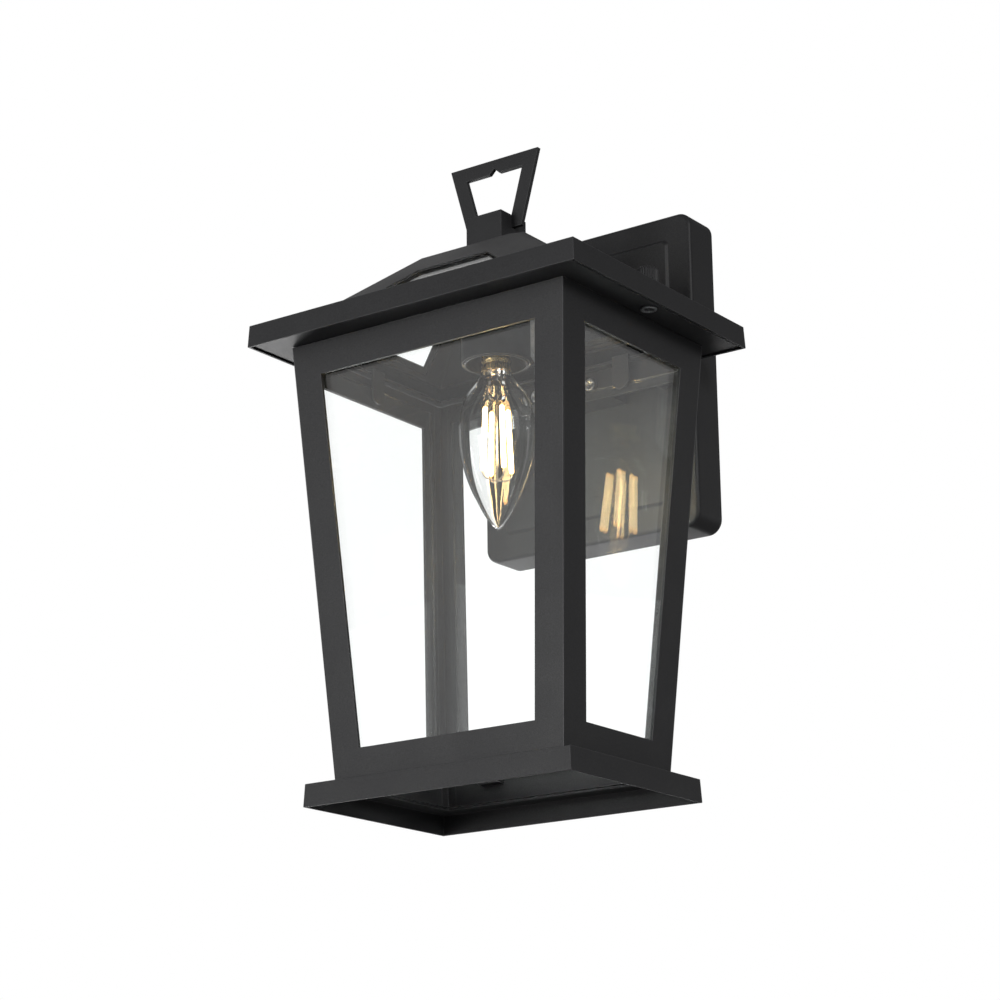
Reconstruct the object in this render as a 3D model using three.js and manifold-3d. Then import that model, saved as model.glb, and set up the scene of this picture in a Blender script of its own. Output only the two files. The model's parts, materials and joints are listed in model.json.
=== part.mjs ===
// Outdoor wall lantern: a wall plate carries, on a short arm, a tapered four-sided glazed body.
// A lift-off lid with a truncated-pyramid cap closes the top, and a rimmed tray forms the open base.
// Units are millimetres. +Z is up, the lantern faces -Y and the wall is at +Y.
// While it is built, heights are taken from the lower edge of the base tray and depths from the middle of
// the body. At the end the whole is moved so that the origin is in the middle of the mounting strap's back
// face, on the wall.
import * as THREE from 'three';
import { mergeVertices } from 'three/addons/utils/BufferGeometryUtils.js';
import { ConvexGeometry } from 'three/addons/geometries/ConvexGeometry.js';
import Module from 'manifold-3d';

const wasm = await Module();
wasm.setup();

// ---------- driving dimensions ----------
const GAP = 0.3; // air left between pieces that meet

// base tray and lid tray, both folded from sheet with rims that flare a little
const TRAY_SHEET = 1.2;
const RIM_FLARE = 0.5;
const BASE = { width: 141, depth: 101, height: 10.4, openX: 59.4, openY: 39.4 };
const LID = { width: 180, depth: 140, bottom: 212, height: 10.5, openX: 72, openY: 53.5 };

// tapered body, given by its half sizes at the bottom and at the top
const BODY = { bottom: 10.6, top: 212.4, x0: 61, y0: 41, x1: 75.5, y1: 56.5, sheet: 1.5 };
const WINDOW = { bottom: 25, top: 197, stileX: 15, stileY: 16.5 };
// the back pane stops below the arm's screws
const GLASS = { thick: 3, lap: 4.3, top: 206, topAtBack: 201.3 };
const LEDGE = { z: 18.2, width: 12, reach: 4.5, thick: 1.2, place: 0.55 };
const CLIP = { x: 33, half: 4.5, low: 203, thick: 1, flange: 9 };

// eave plate under the lid, with a barrel nut at each end
const EAVE = { width: 176, depth: 136, bottom: 212.7, thick: 1.2, openX: 70, openY: 51 };
const THUMB_X = 82.5;
const THUMB = { radius: 5, height: 7.8, shank: 2, knurls: 20, hole: 2.5 };
const BARREL = { flange: 3.8, radius: 3.1, bore: 2.3, hole: 3.4 };

// truncated-pyramid cap
const CAP = { x: 75.2, y: 56.7, height: 31.8, sheet: 1.2 };
const CAP_TOP = { frontX: 24.8, frontY: 24.6, sideX: 31.5, sideY: 22.4 }; // its flat top, with cut corners
const CAP_WINDOW = { low: 4.9, high: 21.5, frontLow: 44, frontHigh: 19.3, sideLow: 34, sideHigh: 21 };
const SKYLIGHT = { thick: 2, lap: 3.5 };

// finial: a square block with a flat loop set into it
const BLOCK = { half: 10, height: 20.6, slotDepth: 6.3, thread: 2.2 };
const CAP_SCREW = { head: 3.8, headHeight: 2.8, shank: 1.9, reach: 7, hole: 2.5 };
const LOOP = { thick: 2.4, bar: 7, topHalf: 25.2, top: 305.3, lean: 0.28, notch: 2.7 };

// wall plate and what holds it
const WALL_Y = 95;
const PLATE = { width: 120, low: 134, high: 290, face: 74.5, corner: 7, edge: 2, sheet: 1.5 };
const PANEL = { inset: 12, rise: 1.5, corner: 2.5, bevel: 1.4 }; // raised on the plate's face
const GASKET = { thick: 2.5, width: 5.2 };
const MOUNT_STRAP = { half: 51, halfHeight: 8, thick: 1.6, slotX: 27, slotHalf: 6, slotHalfHeight: 2.3 };
const STUD = { x: 44, z: 205, radius: 1.95, hole: 2.4, thread: 2.2 };
const CAP_NUT = { hex: 4.4, hexHeight: 3.4, dome: 3.5, bore: 2.3 };
const GROUND = { x: -13, head: 3.4, headHeight: 2.2, shank: 1.7, hole: 2 };
const ARM = { halfX: 22, low: 199, high: 211.4, bore: 2.7, screwX: 14, screwHole: 1.9, screwHead: 3 };

// lamp holder, socket strap and lead
const HOLDER = { low: 203.3, high: 231.6, ring: 14.8, lip: 1, cup: 9, sleeve: 15.9, bore: 8.4 };
const STRAP = { width: 16, thick: 1.5, flat: 22, z: 232.6, foot: 60, bend: 52 };
const LEAD = { radius: 1.6, z: 205.2, plateHole: 3 };
const CONNECTOR = { x0: 12, x1: 34, y0: 79.5, y1: 89.5, z0: 171, z1: 185 };

// candle bulb
const BULB = { tip: 125, neck: 199.6, radius: 17.5, neckRadius: 6.9, wall: 0.8, capTop: 223 };
const STEM_LENGTH = 15.5;
const FILAMENT = { radius: 1.1, low: 151.5, high: 183, topSpread: 5.6, bottomSpread: 7.2, count: 4 };
const FILAMENT_TURN = Math.PI / 3;
const SUPPORT = { wire: 0.45, arm: 0.35, footDrop: 3.5, armDrop: 1.6, belowStem: 0.5 };

const ROUND = 24; // sides of a small round piece

// ---------- materials ----------
function finish(color, roughness, metalness, extra = {}) {
  return new THREE.MeshStandardMaterial({ color, roughness, metalness, ...extra });
}
const black = () => finish(0x1c1c1d, 0.62, 0.1);
const glass = () => finish(0xe9eeee, 0.05, 0, { transparent: true, opacity: 0.25 });
const zinc = () => finish(0xb9bcc0, 0.35, 1);
const brass = () => finish(0xc9a24a, 0.3, 1);
const phenolic = () => finish(0x2a2a2c, 0.5, 0);
const rubber = () => finish(0x333333, 0.9, 0);
const phosphor = () => finish(0xf6c65a, 0.5, 0, { emissive: 0xffb040 });
const sleeving = () => finish(0xe6e2d6, 0.8, 0);
const greenSteel = () => finish(0x2e7d3a, 0.4, 0.8);

// ---------- solids: join, cut, hand back ----------
function toSolid(geometry) {
  const plain = geometry.clone();
  plain.deleteAttribute('normal');
  plain.deleteAttribute('uv');
  const merged = mergeVertices(plain, 1e-4);
  const vertProperties = new Float32Array(merged.attributes.position.array);
  const triVerts = new Uint32Array(merged.index.array);
  return new wasm.Manifold(new wasm.Mesh({ numProp: 3, vertProperties, triVerts }));
}

function toGeometry(solid) {
  const mesh = solid.getMesh();
  const geometry = new THREE.BufferGeometry();
  geometry.setAttribute('position', new THREE.BufferAttribute(new Float32Array(mesh.vertProperties), 3));
  geometry.setIndex(new THREE.BufferAttribute(new Uint32Array(mesh.triVerts), 1));
  geometry.computeVertexNormals();
  return geometry;
}

function cut(geometry, ...tools) {
  return toGeometry(tools.reduce((solid, tool) => solid.subtract(toSolid(tool)), toSolid(geometry)));
}

function join(...pieces) {
  return toGeometry(pieces.map(toSolid).reduce((whole, piece) => whole.add(piece)));
}

function common(geometry, other) {
  return toGeometry(toSolid(geometry).intersect(toSolid(other)));
}

// ---------- basic shapes ----------
function box(x0, x1, y0, y1, z0, z1) {
  const geometry = new THREE.BoxGeometry(x1 - x0, y1 - y0, z1 - z0);
  return geometry.translate((x0 + x1) / 2, (y0 + y1) / 2, (z0 + z1) / 2);
}

function centredBox(halfX, halfY, z0, z1) {
  return box(-halfX, halfX, -halfY, halfY, z0, z1);
}

function rod(radius, z0, z1, x = 0, y = 0, sides = ROUND) {
  const geometry = new THREE.CylinderGeometry(radius, radius, z1 - z0, sides);
  return geometry.rotateX(Math.PI / 2).translate(x, y, (z0 + z1) / 2);
}

function rodAlongY(radius, y0, y1, x, z, sides = ROUND) {
  return new THREE.CylinderGeometry(radius, radius, y1 - y0, sides).translate(x, (y0 + y1) / 2, z);
}

function rodBetween(start, end, radius, sides = 8) {
  const axis = new THREE.Vector3().subVectors(end, start);
  const geometry = new THREE.CylinderGeometry(radius, radius, axis.length(), sides);
  const upright = new THREE.Vector3(0, 1, 0);
  const turn = new THREE.Quaternion().setFromUnitVectors(upright, axis.clone().normalize());
  const middle = new THREE.Vector3().addVectors(start, end).multiplyScalar(0.5);
  return geometry.applyQuaternion(turn).translate(middle.x, middle.y, middle.z);
}

function hull(points) {
  return new ConvexGeometry(points.map(([x, y, z]) => new THREE.Vector3(x, y, z)));
}

function frustum(x0, y0, z0, x1, y1, z1) {
  const ring = (x, y, z) => [[-x, -y, z], [x, -y, z], [x, y, z], [-x, y, z]];
  return hull([...ring(x0, y0, z0), ...ring(x1, y1, z1)]);
}

// a profile of [radius, z] pairs turned about the Z axis, taken anticlockwise so that its faces point out
function turned(profile, sides = ROUND) {
  const points = profile.map(([radius, z]) => new THREE.Vector2(radius, z));
  if (THREE.ShapeUtils.area(points) < 0) points.reverse();
  return new THREE.LatheGeometry(points, sides).rotateX(Math.PI / 2);
}

// an outline of [y, z] pairs, extruded along X from x0 to x1
function slabAlongX(outline, x0, x1) {
  const shape = new THREE.Shape(outline.map(([y, z]) => new THREE.Vector2(y, z)));
  const geometry = new THREE.ExtrudeGeometry(shape, { depth: x1 - x0, bevelEnabled: false });
  return geometry.rotateX(Math.PI / 2).rotateZ(Math.PI / 2).translate(x0, 0, 0);
}

// a bent strip of sheet: the centre line widened by half its thickness to each side
function stripOutline(centreLine, thick) {
  const points = centreLine.map(([a, b]) => new THREE.Vector2(a, b));
  const side = (sign) => points.map((point, i) => {
    const before = points[Math.max(i - 1, 0)];
    const after = points[Math.min(i + 1, points.length - 1)];
    const into = i > 0 ? point.clone().sub(before).normalize() : after.clone().sub(point).normalize();
    const out = i < points.length - 1 ? after.clone().sub(point).normalize() : into;
    const along = into.clone().add(out).normalize();
    const reach = (thick / 2) * sign / Math.max(along.dot(into), 0.2);
    return [point.x - along.y * reach, point.y + along.x * reach];
  });
  return [...side(1), ...side(-1).reverse()];
}

// ---------- assembly helpers ----------
const lantern = new THREE.Group();

function add(name, geometry, material) {
  const mesh = new THREE.Mesh(geometry, material);
  mesh.name = name;
  lantern.add(mesh);
  return mesh;
}

function roundedRectangle(halfX, halfZ, radius) {
  const shape = new THREE.Shape();
  shape.moveTo(-halfX + radius, -halfZ);
  shape.lineTo(halfX - radius, -halfZ);
  shape.absarc(halfX - radius, -halfZ + radius, radius, -Math.PI / 2, 0);
  shape.lineTo(halfX, halfZ - radius);
  shape.absarc(halfX - radius, halfZ - radius, radius, 0, Math.PI / 2);
  shape.lineTo(-halfX + radius, halfZ);
  shape.absarc(-halfX + radius, halfZ - radius, radius, Math.PI / 2, Math.PI);
  shape.lineTo(-halfX, -halfZ + radius);
  shape.absarc(-halfX + radius, -halfZ + radius, radius, Math.PI, 1.5 * Math.PI);
  return shape;
}

// a rounded slab standing against the wall, from y0 (front) to y1, its front edge bevelled by bevel
function wallSlab(halfX, halfZ, radius, y0, y1, bevel) {
  const shape = roundedRectangle(halfX - bevel, halfZ - bevel, Math.max(radius - bevel, 0.5));
  const settings = {
    depth: y1 - y0 - bevel, curveSegments: 4, steps: 1,
    bevelEnabled: bevel > 0, bevelThickness: bevel, bevelSize: bevel, bevelSegments: 2,
  };
  const slab = new THREE.ExtrudeGeometry(shape, settings).rotateX(Math.PI / 2);
  slab.translate(0, y1, (PLATE.low + PLATE.high) / 2);
  if (bevel === 0) return slab;
  // the extrusion bevels its far edge too, and that edge is cut off square
  return common(slab, box(-halfX - 1, halfX + 1, y0 - 1, y1, PLATE.low - 1, PLATE.high + 1));
}

// ---------- body frame and glass ----------
const slopeX = (BODY.x1 - BODY.x0) / (BODY.top - BODY.bottom);
const slopeY = (BODY.y1 - BODY.y0) / (BODY.top - BODY.bottom);
const bodyX = (z) => BODY.x0 + slopeX * (z - BODY.bottom);
const bodyY = (z) => BODY.y0 + slopeY * (z - BODY.bottom);

// The four sides of a tapering box. reach(z) is how far the outer face stands from the axis at height z.
function sideOf(name, reach, slope) {
  const lean = Math.hypot(1, slope);
  const turn = { front: -Math.PI / 2, right: 0, back: Math.PI / 2, left: Math.PI }[name];
  const out = [Math.cos(turn), Math.sin(turn)];
  // the point at height z on the outer face, across it by u, moved inwards through the sheet by depth
  const at = (u, z, depth) => {
    const away = reach(z) - depth / lean;
    return [out[0] * away - out[1] * u, out[1] * away + out[0] * u, z + (depth * slope) / lean];
  };
  return { name, at };
}

// a flat plate parallel to a side: a trapezoid between two heights, from depth d0 to depth d1
function plateOn(side, low, high, halfLow, halfHigh, d0, d1) {
  const corners = [[-halfLow, low], [halfLow, low], [-halfHigh, high], [halfHigh, high]];
  return hull([d0, d1].flatMap((depth) => corners.map(([u, z]) => side.at(u, z, depth))));
}

const bodySides = [
  { ...sideOf('front', bodyY, slopeY), half: bodyX, stile: WINDOW.stileX },
  { ...sideOf('right', bodyX, slopeX), half: bodyY, stile: WINDOW.stileY },
  { ...sideOf('back', bodyY, slopeY), half: bodyX, stile: WINDOW.stileX },
  { ...sideOf('left', bodyX, slopeX), half: bodyY, stile: WINDOW.stileY },
];

function shellWedge(side, inset) {
  const ends = [BODY.bottom, BODY.top];
  const axis = ends.map((z) => side.at(0, z, 30));
  const edges = ends.flatMap((z) => [-1, 1].map((s) => side.at(s * (side.half(z) - inset), z, -0.01)));
  return hull([...axis, ...edges]);
}

for (const side of bodySides) {
  const { name, half, stile } = side;
  const sheet = plateOn(side, BODY.bottom, BODY.top, half(BODY.bottom), half(BODY.top), 0, BODY.sheet);
  const windowCut = plateOn(
    side, WINDOW.bottom, WINDOW.top, half(WINDOW.bottom) - stile, half(WINDOW.top) - stile, -5, 8,
  );
  // the mitre at each corner follows the line where the two sheets meet
  const mitre = shellWedge(side, 0.12);
  const level = centredBox(200, 200, BODY.bottom, BODY.top);
  let frame = common(common(cut(sheet, windowCut), mitre), level);
  // two ledges under the pane
  const ledgeAt = half(LEDGE.z) * LEDGE.place;
  const ledgeStart = BODY.sheet / 2;
  const ledges = [-ledgeAt, ledgeAt].map((u) => {
    const across = [u - LEDGE.width / 2, u + LEDGE.width / 2];
    const corners = across.flatMap((edge) => [[edge, LEDGE.z], [edge, LEDGE.z + LEDGE.thick]]);
    const depths = [ledgeStart, LEDGE.reach + BODY.sheet];
    return hull(depths.flatMap((depth) => corners.map(([edge, z]) => side.at(edge, z, depth))));
  });
  frame = join(frame, ...ledges);
  if (name === 'back') {
    const holes = [
      rodAlongY(ARM.bore, 40, 70, 0, LEAD.z, 16),
      rodAlongY(ARM.screwHole, 40, 70, -ARM.screwX, LEAD.z, 12),
      rodAlongY(ARM.screwHole, 40, 70, ARM.screwX, LEAD.z, 12),
    ];
    frame = cut(frame, ...holes);
  }
  add(`${name}_frame`, frame, black());

  const low = LEDGE.z + LEDGE.thick + GAP + 0.3;
  const high = name === 'back' ? GLASS.topAtBack : GLASS.top;
  const paneHalf = (z) => half(z) - stile + GLASS.lap;
  const inner = BODY.sheet + GAP;
  const pane = plateOn(side, low, high, paneHalf(low), paneHalf(high), inner, inner + GLASS.thick);
  add(`${name}_pane`, pane, glass());
}

// ---------- base tray ----------
// a shallow tray, open below, with a rectangular opening in its plate and any further holes
function tray(size, bottom, holes) {
  const halfX = size.width / 2;
  const halfY = size.depth / 2;
  const top = bottom + size.height;
  const outer = frustum(halfX + RIM_FLARE, halfY + RIM_FLARE, bottom, halfX, halfY, top);
  const t = TRAY_SHEET;
  const inner = frustum(
    halfX + RIM_FLARE - t, halfY + RIM_FLARE - t, bottom - 0.01, halfX - t, halfY - t, top - t,
  );
  const opening = centredBox(size.openX, size.openY, bottom - 1, top + 1);
  return cut(outer, inner, opening, ...holes);
}
add('base_tray', tray(BASE, 0, []), black());

// ---------- eave plate, barrel nuts, pane clips ----------
const eaveTop = EAVE.bottom + EAVE.thick;
const eaveSheet = centredBox(EAVE.width / 2, EAVE.depth / 2, EAVE.bottom, eaveTop);
const eaveHoles = [-THUMB_X, THUMB_X].map((x) => rod(BARREL.hole, EAVE.bottom - 1, eaveTop + 1, x, 0, 16));
const eaveOpening = centredBox(EAVE.openX, EAVE.openY, EAVE.bottom - 1, eaveTop + 1);
add('eave_plate', cut(eaveSheet, eaveOpening, ...eaveHoles), black());

const lidPlateLow = LID.bottom + LID.height - TRAY_SHEET;
const lidTop = LID.bottom + LID.height;

function barrelNut(x) {
  const flangeLow = EAVE.bottom - 1;
  const flangeTop = EAVE.bottom - 0.1;
  const top = lidPlateLow - 0.2;
  const profile = [
    [BARREL.bore, flangeLow], [BARREL.flange, flangeLow], [BARREL.flange, flangeTop],
    [BARREL.radius, flangeTop], [BARREL.radius, top], [BARREL.bore, top], [BARREL.bore, flangeLow],
  ];
  return turned(profile, 16).translate(x, 0, 0);
}
add('barrel_nut_left', barrelNut(-THUMB_X), zinc());
add('barrel_nut_right', barrelNut(THUMB_X), zinc());

// A clip sits on the eave plate, and its round-ended tab hangs down in front of the pane's top edge.
function paneClip(side, u) {
  const name = side.name;
  const alongX = name === 'front' || name === 'back';
  const sign = name === 'front' || name === 'left' ? -1 : 1;
  const tabOuter = (alongX ? EAVE.openY : EAVE.openX) - 0.6;
  const tabInner = tabOuter - CLIP.thick;
  const flangeLow = eaveTop + 0.2;
  const flangeTop = flangeLow + CLIP.thick;
  const tab = box(-CLIP.half, CLIP.half, tabInner, tabOuter, CLIP.low, flangeTop);
  const flange = box(-CLIP.half, CLIP.half, tabInner, tabOuter + CLIP.flange, flangeLow, flangeTop);
  const roundEnd = rodAlongY(CLIP.half, tabInner, tabOuter, 0, CLIP.low, 20);
  const clip = join(tab, flange, roundEnd);
  clip.translate(u, 0, 0);
  if (alongX) return sign < 0 ? clip.rotateZ(Math.PI) : clip;
  return clip.rotateZ(sign < 0 ? Math.PI / 2 : -Math.PI / 2);
}
const [frontSide, rightSide, backSide, leftSide] = bodySides;
add('pane_clip_front_left', paneClip(frontSide, CLIP.x), black());
add('pane_clip_front_right', paneClip(frontSide, -CLIP.x), black());
add('pane_clip_back_left', paneClip(backSide, -CLIP.x), black());
add('pane_clip_back_right', paneClip(backSide, CLIP.x), black());
add('pane_clip_left', paneClip(leftSide, 0), black());
add('pane_clip_right', paneClip(rightSide, 0), black());

// ---------- lid: tray, cap, skylights, finial ----------
const lidHoles = [-THUMB_X, THUMB_X].map((x) => rod(THUMB.hole, lidPlateLow - 1, lidTop + 1, x, 0, 16));
add('lid_tray', tray(LID, LID.bottom, lidHoles), black());

const capLow = lidTop + 0.15;
const capTop = capLow + CAP.height;
const capSlopeX = -(CAP.x - CAP_TOP.sideX) / CAP.height;
const capSlopeY = -(CAP.y - CAP_TOP.frontY) / CAP.height;

// The cap starts as a rectangle and ends as a rectangle with narrow cut corners, offset inwards by depth.
function capHull(depth) {
  const inX = depth * Math.hypot(1, capSlopeX);
  const inY = depth * Math.hypot(1, capSlopeY);
  const low = depth > 0 ? capLow - 0.5 : capLow;
  const high = capTop - depth;
  const growLow = capLow - low;
  const growHigh = capTop - high;
  const x0 = CAP.x - inX - capSlopeX * growLow;
  const y0 = CAP.y - inY - capSlopeY * growLow;
  const sideX = CAP_TOP.sideX - inX - capSlopeX * growHigh;
  const frontY = CAP_TOP.frontY - inY - capSlopeY * growHigh;
  const frontX = sideX - (CAP_TOP.sideX - CAP_TOP.frontX);
  const sideY = frontY - (CAP_TOP.frontY - CAP_TOP.sideY);
  const points = [];
  for (const sx of [-1, 1]) {
    for (const sy of [-1, 1]) {
      points.push([sx * x0, sy * y0, low]);
      points.push([sx * frontX, sy * frontY, high], [sx * sideX, sy * sideY, high]);
    }
  }
  return hull(points);
}

const capSides = ['front', 'right', 'back', 'left'].map((name) => {
  const facesY = name === 'front' || name === 'back';
  const [foot, slope] = facesY ? [CAP.y, capSlopeY] : [CAP.x, capSlopeX];
  const side = sideOf(name, (z) => foot + slope * (z - capLow), slope);
  const low = facesY ? CAP_WINDOW.frontLow : CAP_WINDOW.sideLow;
  const high = facesY ? CAP_WINDOW.frontHigh : CAP_WINDOW.sideHigh;
  return { ...side, low, high };
});
const windowLow = capLow + CAP_WINDOW.low;
const windowHigh = capLow + CAP_WINDOW.high;
const capWindows = capSides.map((side) => plateOn(side, windowLow, windowHigh, side.low, side.high, -3, 3));
const screwHole = rod(CAP_SCREW.hole, capTop - 5, capTop + 5, 0, 0, 16);
add('cap', cut(capHull(0), capHull(CAP.sheet), ...capWindows, screwHole), black());

for (const side of capSides) {
  // a pane laps less where the cap narrows
  const lap = SKYLIGHT.lap;
  const [low, high] = [windowLow - lap * 0.5, windowHigh + lap * 0.6];
  const [halfLow, halfHigh] = [side.low + lap, side.high + lap * 0.6];
  const depth = CAP.sheet + GAP;
  const pane = plateOn(side, low, high, halfLow, halfHigh, depth, depth + SKYLIGHT.thick);
  add(`skylight_${side.name}`, pane, glass());
}

const blockLow = capTop + 0.1;
const blockTop = blockLow + BLOCK.height;
const slotFloor = blockTop - BLOCK.slotDepth;
const slotHalf = LOOP.thick / 2 + 0.15;
const blockBody = centredBox(BLOCK.half, BLOCK.half, blockLow, blockTop);
const slot = box(-20, 20, -slotHalf, slotHalf, slotFloor, blockTop + 1);
const blockThread = rod(BLOCK.thread, blockLow - 1, blockLow + CAP_SCREW.reach + 1, 0, 0, 16);
add('finial_block', cut(blockBody, slot, blockThread), black());

function loopPlate() {
  const low = slotFloor + 0.15;
  const halfAt = (z) => LOOP.topHalf - LOOP.lean * (LOOP.top - z);
  const innerTop = LOOP.top - LOOP.bar;
  const innerLow = blockTop - 0.2;
  const side = LOOP.bar * Math.hypot(1, LOOP.lean);
  const innerHalf = (z) => halfAt(z) - side;
  const outline = new THREE.Shape([
    [-halfAt(low), low], [halfAt(low), low], [halfAt(LOOP.top), LOOP.top], [-halfAt(LOOP.top), LOOP.top],
  ].map(([x, z]) => new THREE.Vector2(x, z)));
  outline.holes.push(new THREE.Path([
    [-innerHalf(innerLow), innerLow], [-innerHalf(innerTop), innerTop], [-LOOP.notch, innerTop],
    [0, innerTop + LOOP.notch], [LOOP.notch, innerTop], [innerHalf(innerTop), innerTop],
    [innerHalf(innerLow), innerLow],
  ].map(([x, z]) => new THREE.Vector2(x, z))));
  const plate = new THREE.ExtrudeGeometry(outline, { depth: LOOP.thick, bevelEnabled: false });
  return plate.rotateX(Math.PI / 2).translate(0, LOOP.thick / 2, 0);
}
add('finial_loop', loopPlate(), black());

function panScrew(headRadius, headLow, headHigh, shankRadius, shankEnd) {
  const up = shankEnd > headHigh;
  const [face, back] = up ? [headLow, headHigh] : [headHigh, headLow];
  const profile = [
    [0, face], [headRadius * 0.7, face], [headRadius, (face + back) / 2], [headRadius, back],
    [shankRadius, back], [shankRadius, shankEnd], [0, shankEnd],
  ];
  return turned(profile, 16);
}
const headTop = capTop - CAP.sheet - 0.2;
const finialScrew = panScrew(
  CAP_SCREW.head, headTop - CAP_SCREW.headHeight, headTop, CAP_SCREW.shank, blockLow + CAP_SCREW.reach,
);
add('finial_screw', finialScrew, zinc());

// ---------- thumb screws ----------
function thumbScrew(x) {
  const headLow = lidTop + 1;
  const outline = new THREE.Shape();
  for (let i = 0; i < THUMB.knurls * 2; i += 1) {
    const angle = (i / (THUMB.knurls * 2)) * Math.PI * 2;
    const radius = i % 2 ? THUMB.radius - 0.45 : THUMB.radius;
    const [px, py] = [Math.cos(angle) * radius, Math.sin(angle) * radius];
    if (i === 0) outline.moveTo(px, py);
    else outline.lineTo(px, py);
  }
  outline.closePath();
  const head = new THREE.ExtrudeGeometry(outline, { depth: THUMB.height, bevelEnabled: false });
  head.translate(0, 0, headLow);
  const collar = rod(3.6, lidTop + GAP, headLow + 0.5);
  const shank = rod(THUMB.shank, EAVE.bottom + 0.5, headLow + 0.5);
  return join(head, collar, shank).translate(x, 0, 0);
}
add('thumb_screw_left', thumbScrew(-THUMB_X), black());
add('thumb_screw_right', thumbScrew(THUMB_X), black());

// ---------- socket strap, holder ----------
const strapFootZ = eaveTop + STRAP.thick / 2 + 0.2;
const strapLine = [
  [-STRAP.foot, strapFootZ], [-STRAP.bend + 3, strapFootZ], [-STRAP.flat, STRAP.z],
  [STRAP.flat, STRAP.z], [STRAP.bend - 3, strapFootZ], [STRAP.foot, strapFootZ],
];
const strapBlank = slabAlongX(stripOutline(strapLine, STRAP.thick), -STRAP.width / 2, STRAP.width / 2);
const strapScrewY = STRAP.foot - 4;
const nippleHole = rod(5.3, STRAP.z - 3, STRAP.z + 3);
const strapHoles = [-strapScrewY, strapScrewY].map((y) => rod(1.9, 205, 225, 0, y, 12));
add('socket_strap', cut(strapBlank, nippleHole, ...strapHoles), zinc());

const footTop = strapFootZ + STRAP.thick / 2;
function strapScrew(y) {
  return panScrew(3.2, footTop + 0.2, footTop + 2.4, 1.5, footTop - STRAP.thick + 0.1).translate(0, y, 0);
}
add('strap_screw_front', strapScrew(-strapScrewY), zinc());
add('strap_screw_back', strapScrew(strapScrewY), zinc());

const strapTop = STRAP.z + STRAP.thick / 2;
const strapUnder = STRAP.z - STRAP.thick / 2;
const nippleHigh = strapTop + 5.2;
const nippleLow = HOLDER.high - 4;
function tube(outer, inner, low, high, sides = ROUND) {
  return turned([[inner, low], [outer, low], [outer, high], [inner, high], [inner, low]], sides);
}
add('threaded_nipple', tube(4.9, 3.2, nippleLow, nippleHigh), zinc());
const nut = cut(rod(7.6, strapTop + 0.2, strapTop + 3.2, 0, 0, 6), rod(5.15, strapTop, strapTop + 4));
add('nipple_nut', nut, zinc());

// The holder's lower end is a thin-walled cup, and its threaded bore starts at the cup's floor.
const cupFloor = HOLDER.low + HOLDER.cup;
const holderTop = Math.min(HOLDER.high, strapUnder - 0.2);
const cupRadius = HOLDER.ring - HOLDER.lip;
const boreTop = nippleLow - 1.6;
const nippleSeat = nippleLow - 0.4;
const holderProfile = [
  [cupRadius, HOLDER.low], [HOLDER.ring, HOLDER.low], [HOLDER.ring, holderTop], [5.2, holderTop],
  [5.2, nippleSeat], [3, nippleSeat], [3, boreTop], [HOLDER.bore, boreTop], [HOLDER.bore, cupFloor],
  [cupRadius, cupFloor], [cupRadius, HOLDER.low],
];
add('holder_body', turned(holderProfile, 32), phenolic());
add('holder_sleeve', tube(HOLDER.sleeve, HOLDER.ring + GAP, HOLDER.low + 0.4, holderTop, 32), black());

const shellTop = nippleLow - 2;
add('screw_shell', tube(HOLDER.bore - 0.2, HOLDER.bore - 0.7, cupFloor + GAP, shellTop), brass());
const springTongue = stripOutline([[-5, shellTop - 0.6], [0, shellTop - 0.6], [2.5, shellTop - 1.8]], 0.5);
add('socket_contact', slabAlongX(springTongue, -2.2, 2.2), brass());

// ---------- bulb ----------
const bulbAxisPoints = [
  [BULB.neckRadius, BULB.neck], [8.3, 196.4], [11.6, 192], [14.4, 187.8], [16.6, 181.5], [BULB.radius, 171.5],
  [16.6, 160], [13.7, 148.5], [9.4, 138.5], [4.9, 130], [2, 126.2],
];
const outerCurve = new THREE.SplineCurve(bulbAxisPoints.map(([r, z]) => new THREE.Vector2(r, z)));
function envelope() {
  const outer = outerCurve.getPoints(15).map((point) => [point.x, point.y]);
  const inner = outer.map(([r, z]) => [Math.max(r - BULB.wall, 0.5), z]).reverse();
  inner[0] = [1, BULB.tip + 1.6];
  return turned([...outer, [0, BULB.tip], [0, BULB.tip + 1.3], ...inner, outer[0]]);
}
add('bulb_envelope', envelope(), glass());

// The cap's threads are plain rings, one pitch apart.
function bulbCap() {
  const collarLow = BULB.neck + 0.2;
  const radius = BULB.neckRadius;
  const profile = [[0, collarLow], [radius, collarLow], [radius, collarLow + 2.5]];
  const pitch = 2.8;
  const turns = 6;
  for (let i = 0; i < turns; i += 1) {
    const z = collarLow + 2.5 + i * pitch;
    profile.push([radius - 0.8, z + pitch * 0.35], [radius, z + pitch]);
  }
  profile.push([2.6, BULB.capTop - 0.8], [2.6, BULB.capTop], [0, BULB.capTop]);
  return turned(profile);
}
add('bulb_cap', bulbCap(), brass());

const stemTop = BULB.neck + 0.05;
const stemProfile = [
  [0, stemTop], [5.4, stemTop], [4.6, stemTop - 3], [4.2, stemTop - 6], [4.8, stemTop - 10],
  [4, stemTop - STEM_LENGTH + 1.6], [0, stemTop - STEM_LENGTH],
];
add('bulb_stem', turned(stemProfile, 16), glass());

const filamentAngles = Array.from({ length: FILAMENT.count }, (_, i) => FILAMENT_TURN + (i * Math.PI) / 2);
function aroundAxis(angle, radius, z) {
  return new THREE.Vector3(Math.cos(angle) * radius, Math.sin(angle) * radius, z);
}
filamentAngles.forEach((angle, i) => {
  const low = aroundAxis(angle, FILAMENT.bottomSpread, FILAMENT.low);
  const high = aroundAxis(angle, FILAMENT.topSpread, FILAMENT.high);
  add(`filament_${i + 1}`, rodBetween(low, high, FILAMENT.radius, 10), phosphor());
});

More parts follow.
